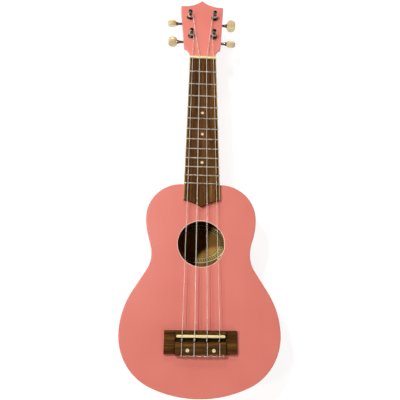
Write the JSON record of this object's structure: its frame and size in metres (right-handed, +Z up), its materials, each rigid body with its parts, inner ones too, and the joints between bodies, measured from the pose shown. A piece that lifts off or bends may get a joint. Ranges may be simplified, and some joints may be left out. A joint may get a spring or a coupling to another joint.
{
  "type": "soprano ukulele",
  "caption": "Small four-stringed instrument with a figure-eight lacquered body, round sound hole, dark bound fretboard, wooden bridge and geared tuners on a leaning head.",
  "frame": {"origin": "middle of the overall length and width, on the surface that the flat back lies on", "axes": "+X across the instrument to the right as seen from the front with the head up, +Y along the neck towards the head's tip, +Z up out of the soundboard"},
  "size_m": [0.1768, 0.523, 0.0734],
  "materials": {
    "top_lacquer": "salmon-pink satin lacquer on a thin wooden plate",
    "body_lacquer": "salmon-pink satin lacquer on bent wood",
    "neck_lacquer": "salmon-pink satin lacquer on solid wood",
    "inner_wood": "bare, unlacquered",
    "spruce": "bare, unlacquered",
    "fretboard_wood": "dark, oiled, open grain",
    "bridge_wood": "dark, oiled, open grain",
    "cream_plastic": "cream, polished",
    "bone_plastic": "bone-coloured, satin",
    "button_plastic": "cream, moulded, polished",
    "pearl": "pearly",
    "nickel": "nickel plated, polished",
    "fret_metal": "nickel silver, polished along the crown",
    "plated_steel": "zinc or nickel plated steel",
    "gear_brass": "cut, dull",
    "nylon": "clear drawn nylon, slightly milky",
    "label_paper": "cream paper, printed with a plain border"
  },
  "bodies": {
    "instrument": {"soundboard": "top_lacquer", "back_plate": "body_lacquer", "side_left": "body_lacquer", "side_right": "body_lacquer", "neck_block": "inner_wood", "tail_block": "inner_wood", "back_linings": "inner_wood", "top_linings": "inner_wood", "soundboard_brace_upper": "spruce", "soundboard_brace_lower": "spruce", "back_brace_upper": "spruce", "back_brace_lower": "spruce", "bridge_patch": "spruce", "label": "label_paper", "neck": "neck_lacquer", "neck_dowels": "inner_wood", "headstock": "neck_lacquer", "nut": "bone_plastic", "fretboard": "fretboard_wood", "fretboard_bindings": "cream_plastic", "frets": "fret_metal", "fret_markers": "pearl", "bridge": "bridge_wood", "bridge_dots": "pearl", "bridge_screws": "plated_steel", "saddle": "bone_plastic", "post_bushings": "nickel", "tuner_plate_screws": "plated_steel", "string_g": "nylon", "tuner_g_plate": "nickel", "string_c": "nylon", "tuner_c_plate": "nickel", "string_e": "nylon", "tuner_e_plate": "nickel", "string_a": "nylon", "tuner_a_plate": "nickel"},
    "post_g": {"tuner_g_post": "nickel", "tuner_g_gear": "gear_brass", "tuner_g_gear_screw": "plated_steel", "string_g_winding": "nylon"},
    "knob_g": {"tuner_g_worm_shaft": "nickel", "tuner_g_button": "button_plastic"},
    "post_c": {"tuner_c_post": "nickel", "tuner_c_gear": "gear_brass", "tuner_c_gear_screw": "plated_steel", "string_c_winding": "nylon"},
    "knob_c": {"tuner_c_worm_shaft": "nickel", "tuner_c_button": "button_plastic"},
    "post_e": {"tuner_e_post": "nickel", "tuner_e_gear": "gear_brass", "tuner_e_gear_screw": "plated_steel", "string_e_winding": "nylon"},
    "knob_e": {"tuner_e_worm_shaft": "nickel", "tuner_e_button": "button_plastic"},
    "post_a": {"tuner_a_post": "nickel", "tuner_a_gear": "gear_brass", "tuner_a_gear_screw": "plated_steel", "string_a_winding": "nylon"},
    "knob_a": {"tuner_a_worm_shaft": "nickel", "tuner_a_button": "button_plastic"}
  },
  "joints": [
    {"name": "knob_turn_g", "type": "hinge", "parent": "instrument", "child": "knob_g", "pos_m": [-0.0152, 0.19297, 0.03624], "axis": [1, 0, 0], "continuous": true},
    {"name": "post_turn_g", "type": "hinge", "parent": "instrument", "child": "post_g", "pos_m": [-0.0152, 0.19032, 0.05383], "axis": [0, 0.1994, 0.9799], "continuous": true},
    {"name": "knob_turn_c", "type": "hinge", "parent": "instrument", "child": "knob_c", "pos_m": [-0.0169, 0.22874, 0.02897], "axis": [1, 0, 0], "continuous": true},
    {"name": "post_turn_c", "type": "hinge", "parent": "instrument", "child": "post_c", "pos_m": [-0.0169, 0.22609, 0.04655], "axis": [0, 0.1994, 0.9799], "continuous": true},
    {"name": "knob_turn_e", "type": "hinge", "parent": "instrument", "child": "knob_e", "pos_m": [0.0169, 0.22874, 0.02897], "axis": [1, 0, 0], "continuous": true},
    {"name": "post_turn_e", "type": "hinge", "parent": "instrument", "child": "post_e", "pos_m": [0.0169, 0.22609, 0.04655], "axis": [0, 0.1994, 0.9799], "continuous": true},
    {"name": "knob_turn_a", "type": "hinge", "parent": "instrument", "child": "knob_a", "pos_m": [0.0152, 0.19297, 0.03624], "axis": [1, 0, 0], "continuous": true},
    {"name": "post_turn_a", "type": "hinge", "parent": "instrument", "child": "post_a", "pos_m": [0.0152, 0.19032, 0.05383], "axis": [0, 0.1994, 0.9799], "continuous": true}
  ],
  "couplings": [
    {"joint": "post_turn_g", "follows": "knob_turn_g", "ratio": -0.071429},
    {"joint": "post_turn_c", "follows": "knob_turn_c", "ratio": -0.071429},
    {"joint": "post_turn_e", "follows": "knob_turn_e", "ratio": 0.071429},
    {"joint": "post_turn_a", "follows": "knob_turn_a", "ratio": 0.071429}
  ]
}
